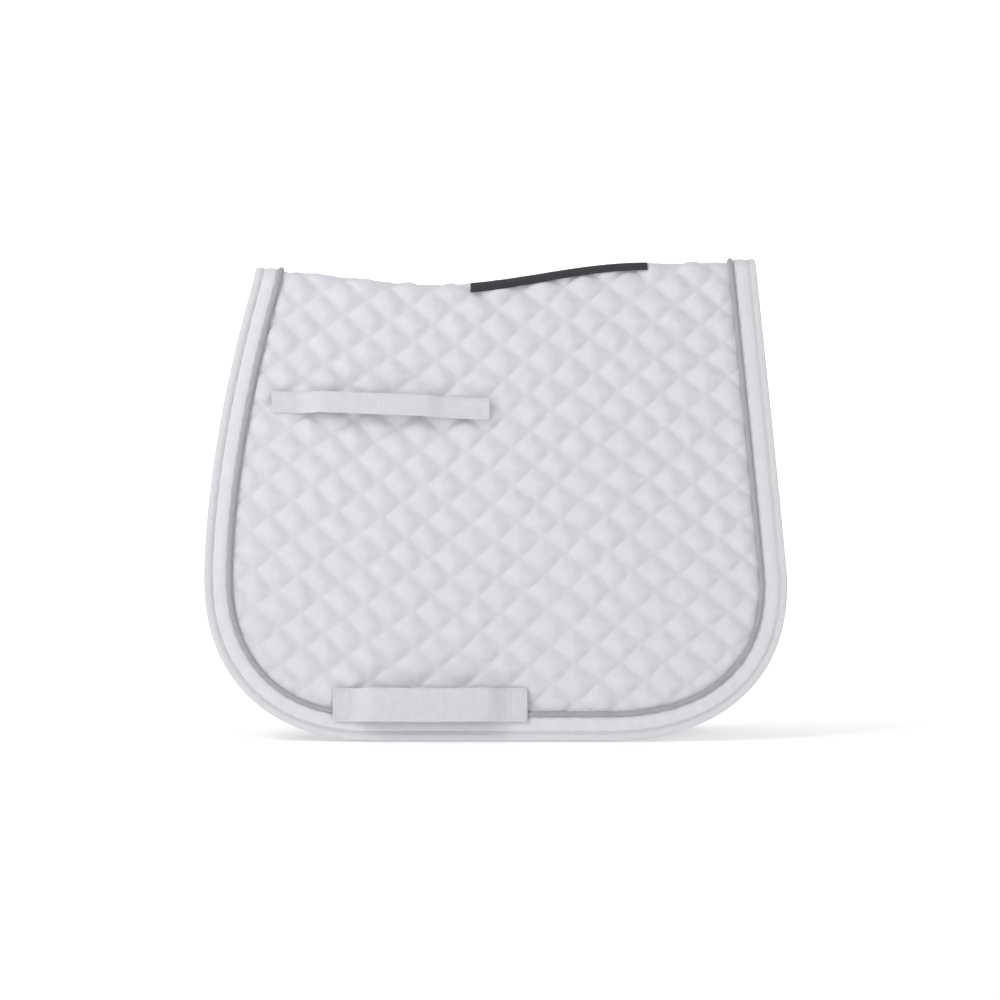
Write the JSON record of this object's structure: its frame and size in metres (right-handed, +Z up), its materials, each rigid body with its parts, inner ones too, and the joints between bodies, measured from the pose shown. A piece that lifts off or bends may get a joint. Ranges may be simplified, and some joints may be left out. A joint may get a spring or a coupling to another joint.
{
  "type": "saddle pad",
  "caption": "Diamond-quilted cotton pad for an English saddle: two flaps that fold along a dipped ridge, piped and bound border, hook-and-loop billet keepers and girth loops.",
  "frame": {"origin": "on the surface that the pad stands on, below the middle of its bounding box", "axes": "+X to the rear of the pad, +Y to the far flap, +Z up"},
  "size_m": [0.66, 0.243, 0.5508],
  "materials": {
    "white_cotton": "matt quilted cotton twill",
    "white_batting": "soft polyester batting",
    "white_binding": "plain woven binding tape",
    "grey_piping": "slightly glossy grey piping cord",
    "white_webbing": "flat woven webbing",
    "pale_hook_and_loop": "napped hook-and-loop tape",
    "charcoal_label": "plain dark woven ribbon"
  },
  "bodies": {
    "spine": {"spine_lining": "white_cotton", "spine_batting": "white_batting", "spine_quilted_cover": "white_cotton", "spine_label": "charcoal_label", "front_spine_band": "white_binding", "front_spine_piping": "grey_piping", "front_spine_binding": "white_binding", "rear_spine_band": "white_binding", "rear_spine_piping": "grey_piping", "rear_spine_binding": "white_binding"},
    "near_flap": {"near_lining": "white_cotton", "near_batting": "white_batting", "near_quilted_cover": "white_cotton", "near_border_band": "white_binding", "near_piping": "grey_piping", "near_edge_binding": "white_binding", "near_billet_keeper_base": "white_webbing", "near_billet_loop_patch": "pale_hook_and_loop", "near_girth_keeper": "white_webbing"},
    "far_flap": {"far_lining": "white_cotton", "far_batting": "white_batting", "far_quilted_cover": "white_cotton", "far_border_band": "white_binding", "far_piping": "grey_piping", "far_edge_binding": "white_binding", "far_billet_keeper_base": "white_webbing", "far_billet_loop_patch": "pale_hook_and_loop", "far_girth_keeper": "white_webbing"},
    "near_billet_keeper": {"near_billet_keeper": "white_webbing", "near_billet_hook_patch": "pale_hook_and_loop"},
    "far_billet_keeper": {"far_billet_keeper": "white_webbing", "far_billet_hook_patch": "pale_hook_and_loop"}
  },
  "joints": [
    {"name": "near_flap_fold", "type": "hinge", "parent": "spine", "child": "near_flap", "pos_m": [0, -0.01, 0.528], "axis": [-1, 0, 0], "range_deg": [-10, 80], "deforming": ["spine_lining", "spine_batting", "spine_quilted_cover", "spine_label", "front_spine_band", "front_spine_piping", "front_spine_binding", "rear_spine_band", "rear_spine_piping", "rear_spine_binding"]},
    {"name": "far_flap_fold", "type": "hinge", "parent": "spine", "child": "far_flap", "pos_m": [0, 0.01, 0.528], "axis": [1, 0, 0], "range_deg": [-10, 80], "deforming": ["spine_lining", "spine_batting", "spine_quilted_cover", "spine_label", "front_spine_band", "front_spine_piping", "front_spine_binding", "rear_spine_band", "rear_spine_piping", "rear_spine_binding"]},
    {"name": "near_billet_keeper_turn", "type": "hinge", "parent": "near_flap", "child": "near_billet_keeper", "pos_m": [-0.226, -0.04723, 0.37847], "axis": [0, -0.1736, -0.9848], "range_deg": [0, 150]},
    {"name": "far_billet_keeper_turn", "type": "hinge", "parent": "far_flap", "child": "far_billet_keeper", "pos_m": [-0.226, 0.04723, 0.37847], "axis": [0, -0.1736, 0.9848], "range_deg": [0, 150]}
  ]
}
